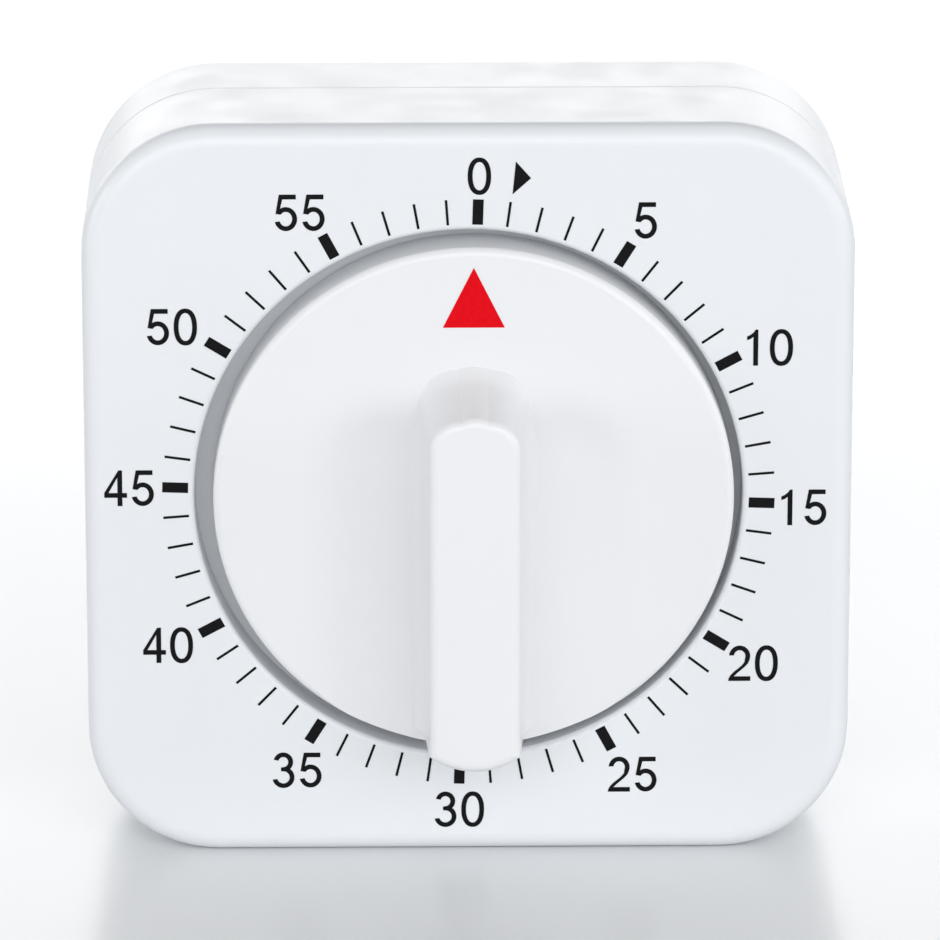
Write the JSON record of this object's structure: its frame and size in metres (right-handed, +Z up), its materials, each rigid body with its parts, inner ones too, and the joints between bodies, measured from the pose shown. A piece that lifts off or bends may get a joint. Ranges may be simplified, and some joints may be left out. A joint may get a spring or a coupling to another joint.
{
  "type": "mechanical lab timer",
  "caption": "White square mechanical 60-minute timer with a round dial knob, bar grip and red pointer; a sprung clock movement and bell sit inside the two-part case.",
  "frame": {"origin": "middle of the flat base, halfway between the front and the back of the case", "axes": "+Z up, -Y out of the front of the dial, +X to the viewer's right when facing the dial"},
  "size_m": [0.07, 0.0373, 0.0692],
  "materials": {
    "case_white": "satin moulded ABS",
    "knob_white": "satin moulded ABS",
    "screw_steel": "zinc plated",
    "plate_steel": "stamped sheet",
    "arbor_steel": "turned",
    "spring_steel": "blued spring steel",
    "wheel_brass": "stamped brass",
    "wheel_plastic": "natural acetal",
    "bell_nickel": "nickel plated"
  },
  "bodies": {
    "case": {"front_case": "case_white", "rear_cover": "case_white", "cover_screws": "screw_steel", "front_plate": "plate_steel", "rear_plate": "plate_steel", "pillars": "arbor_steel", "pillar_screws": "screw_steel", "movement_screws": "screw_steel", "mainspring": "spring_steel", "spring_post": "arbor_steel", "hammer_spring": "spring_steel", "bell": "bell_nickel", "bell_post": "arbor_steel", "bell_screw": "screw_steel"},
    "dial": {"dial_knob": "knob_white", "main_arbor": "arbor_steel", "cam_disc": "plate_steel", "ratchet_wheel": "arbor_steel", "retaining_ring": "spring_steel"},
    "great": {"great_wheel": "wheel_brass", "click_pin": "arbor_steel", "click_spring": "spring_steel"},
    "click_lever": {"click": "arbor_steel"},
    "second": {"second_arbor": "arbor_steel", "second_wheel": "wheel_plastic"},
    "third": {"third_arbor": "arbor_steel", "third_wheel": "wheel_plastic"},
    "escape": {"escape_arbor": "arbor_steel", "escape_wheel": "wheel_plastic"},
    "balance": {"verge": "arbor_steel", "balance_bar": "wheel_brass"},
    "hammer": {"hammer_arbor": "arbor_steel", "hammer_lever": "plate_steel", "hammer_arm": "plate_steel", "hammer_head": "wheel_brass"}
  },
  "joints": [
    {"name": "dial_turn", "type": "hinge", "parent": "case", "child": "dial", "pos_m": [0.00045, 0, 0.0346], "axis": [0, 1, 0], "range_deg": [0, 354]},
    {"name": "great_wheel_turn", "type": "hinge", "parent": "case", "child": "great", "pos_m": [0.00045, 0, 0.0346], "axis": [0, 1, 0], "range_deg": [0, 355]},
    {"name": "second_wheel_turn", "type": "hinge", "parent": "case", "child": "second", "pos_m": [-0.0126, 0, 0.02851], "axis": [0, 1, 0], "range_deg": [-2833, 0]},
    {"name": "third_wheel_turn", "type": "hinge", "parent": "case", "child": "third", "pos_m": [-0.01118, 0, 0.01841], "axis": [0, 1, 0], "range_deg": [0, 21241]},
    {"name": "escape_wheel_turn", "type": "hinge", "parent": "case", "child": "escape", "pos_m": [-0.00351, 0, 0.01678], "axis": [0, 1, 0], "range_deg": [-127441, 0]},
    {"name": "click_lift", "type": "hinge", "parent": "great", "child": "click_lever", "pos_m": [-0.002, 0, 0.04236], "axis": [0, -1, 0], "range_deg": [0, 8]},
    {"name": "balance_swing", "type": "hinge", "parent": "case", "child": "balance", "pos_m": [0.00179, 0, 0.01678], "axis": [0, 1, 0], "range_deg": [-4, 4]},
    {"name": "hammer_swing", "type": "hinge", "parent": "case", "child": "hammer", "pos_m": [0.02284, 0, 0.03382], "axis": [0, 1, 0], "range_deg": [0, 6]}
  ],
  "couplings": [
    {"joint": "great_wheel_turn", "follows": "dial_turn", "ratio": 1},
    {"joint": "second_wheel_turn", "follows": "dial_turn", "ratio": -8},
    {"joint": "third_wheel_turn", "follows": "dial_turn", "ratio": 60},
    {"joint": "escape_wheel_turn", "follows": "dial_turn", "ratio": -360}
  ]
}
